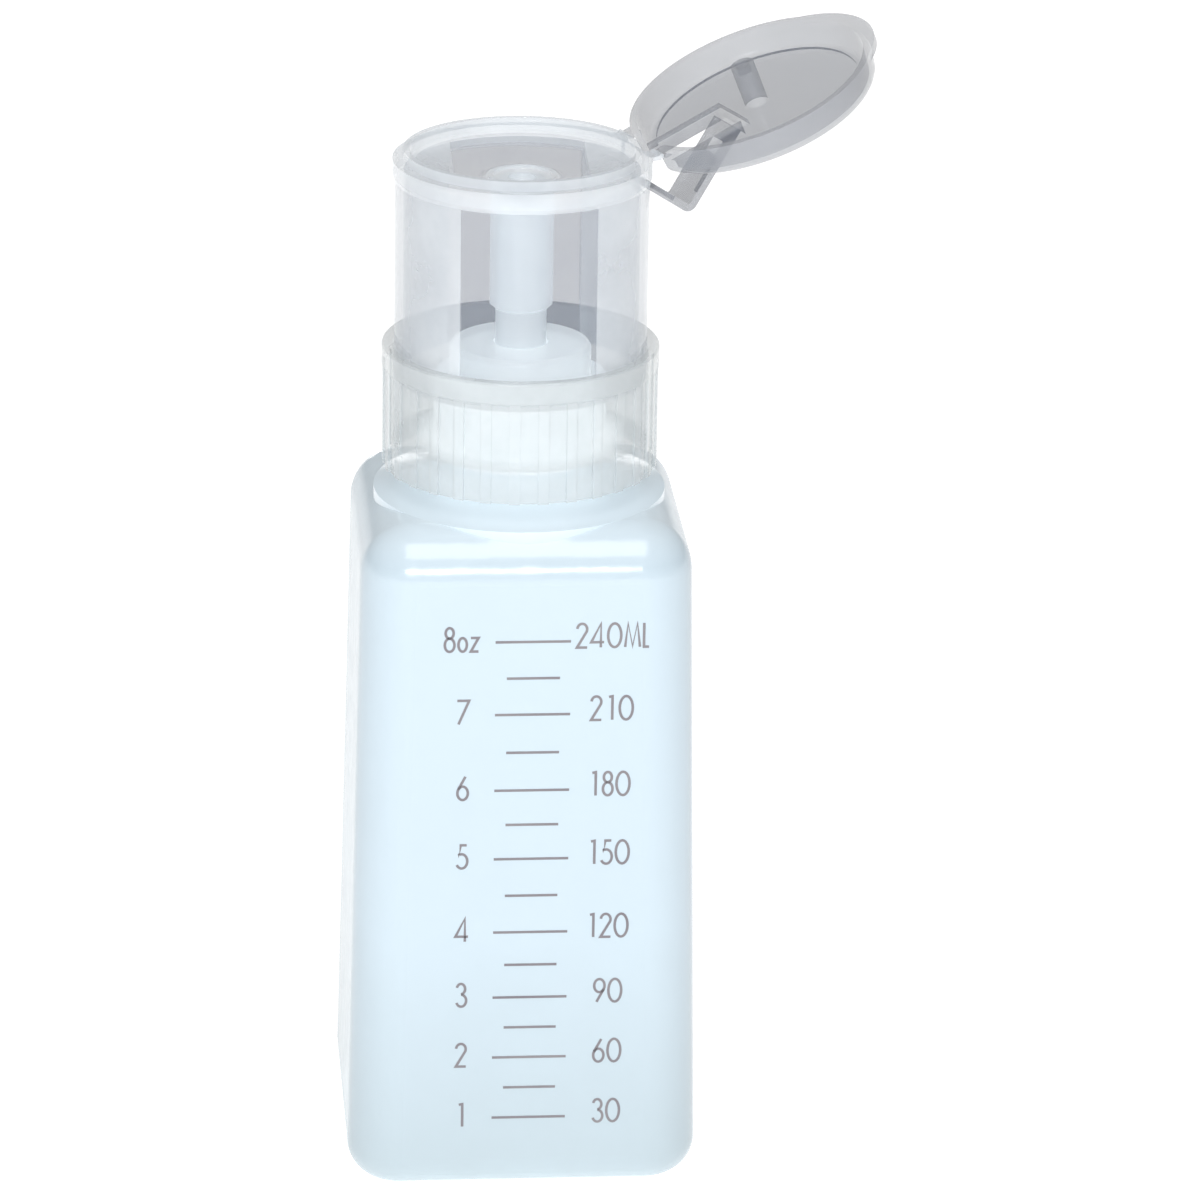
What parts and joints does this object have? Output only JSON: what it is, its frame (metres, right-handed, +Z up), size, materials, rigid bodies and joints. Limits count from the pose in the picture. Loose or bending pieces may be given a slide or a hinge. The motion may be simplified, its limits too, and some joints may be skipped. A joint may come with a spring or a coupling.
{
  "type": "liquid pump dispenser bottle",
  "caption": "Square translucent bottle with a graduated scale, a ribbed screw collar and a push-down pump whose dished clear head has a flip lid.",
  "frame": {"origin": "centre of the bottle's foot, on the surface it stands on", "axes": "+Z up along the pump's axis; the printed scale faces -Y; the lid opens towards +X, turned 21 degrees towards +Y"},
  "size_m": [0.0845, 0.0618, 0.1798],
  "materials": {
    "milky_plastic": "soft satin, milky translucent polyethylene",
    "clear_plastic": "smooth translucent polypropylene",
    "gasket_foam": "matt foam polyethylene",
    "white_plastic": "smooth natural white polyethylene",
    "tube_plastic": "smooth translucent tube",
    "spring_steel": "bright drawn stainless wire",
    "valve_steel": "polished ball"
  },
  "bodies": {
    "bottle": {"bottle": "milky_plastic"},
    "pump": {"neck_gasket": "gasket_foam", "pump_housing": "white_plastic", "chaplet": "white_plastic", "dip_tube": "tube_plastic", "return_spring": "spring_steel"},
    "collar": {"screw_collar": "clear_plastic"},
    "head": {"push_head": "clear_plastic", "outlet_insert": "clear_plastic", "stem": "white_plastic", "piston": "white_plastic"},
    "lid": {"lid": "clear_plastic"},
    "strap": {"hinge_strap": "clear_plastic"},
    "inlet_valve": {"inlet_ball": "valve_steel"},
    "outlet_valve": {"outlet_ball": "valve_steel"}
  },
  "joints": [
    {"name": "pump_lift", "type": "slide", "parent": "bottle", "child": "pump", "axis": [0, 0, 1], "range_m": [0, 0.004]},
    {"name": "collar_turn", "type": "hinge", "parent": "pump", "child": "collar", "pos_m": [0, 0, 0.12], "axis": [0, 0, 1], "range_deg": [0, 450]},
    {"name": "head_press", "type": "slide", "parent": "pump", "child": "head", "axis": [0, 0, 1], "range_m": [-0.0056, 0], "stiffness_N_per_m": 350, "springref_m": 0.012, "deforming": ["return_spring"]},
    {"name": "lid_hinge", "type": "hinge", "parent": "head", "child": "lid", "pos_m": [0.019, 0.00729, 0.1636], "axis": [-0.3584, 0.9336, 0], "range_deg": [-157.16, 0]},
    {"name": "strap_swing", "type": "hinge", "parent": "head", "child": "strap", "pos_m": [0.01853, 0.00711, 0.158], "axis": [-0.3584, 0.9336, 0], "range_deg": [-121.89, 0]},
    {"name": "inlet_ball_lift", "type": "slide", "parent": "pump", "child": "inlet_valve", "axis": [0, 0, 1], "range_m": [0, 0.0012]},
    {"name": "outlet_ball_lift", "type": "slide", "parent": "head", "child": "outlet_valve", "axis": [0, 0, 1], "range_m": [0, 0.001]}
  ],
  "couplings": [
    {"joint": "pump_lift", "follows": "collar_turn", "m_per_rad": 0.00050532},
    {"joint": "strap_swing", "follows": "lid_hinge", "ratio": 0.76285}
  ]
}
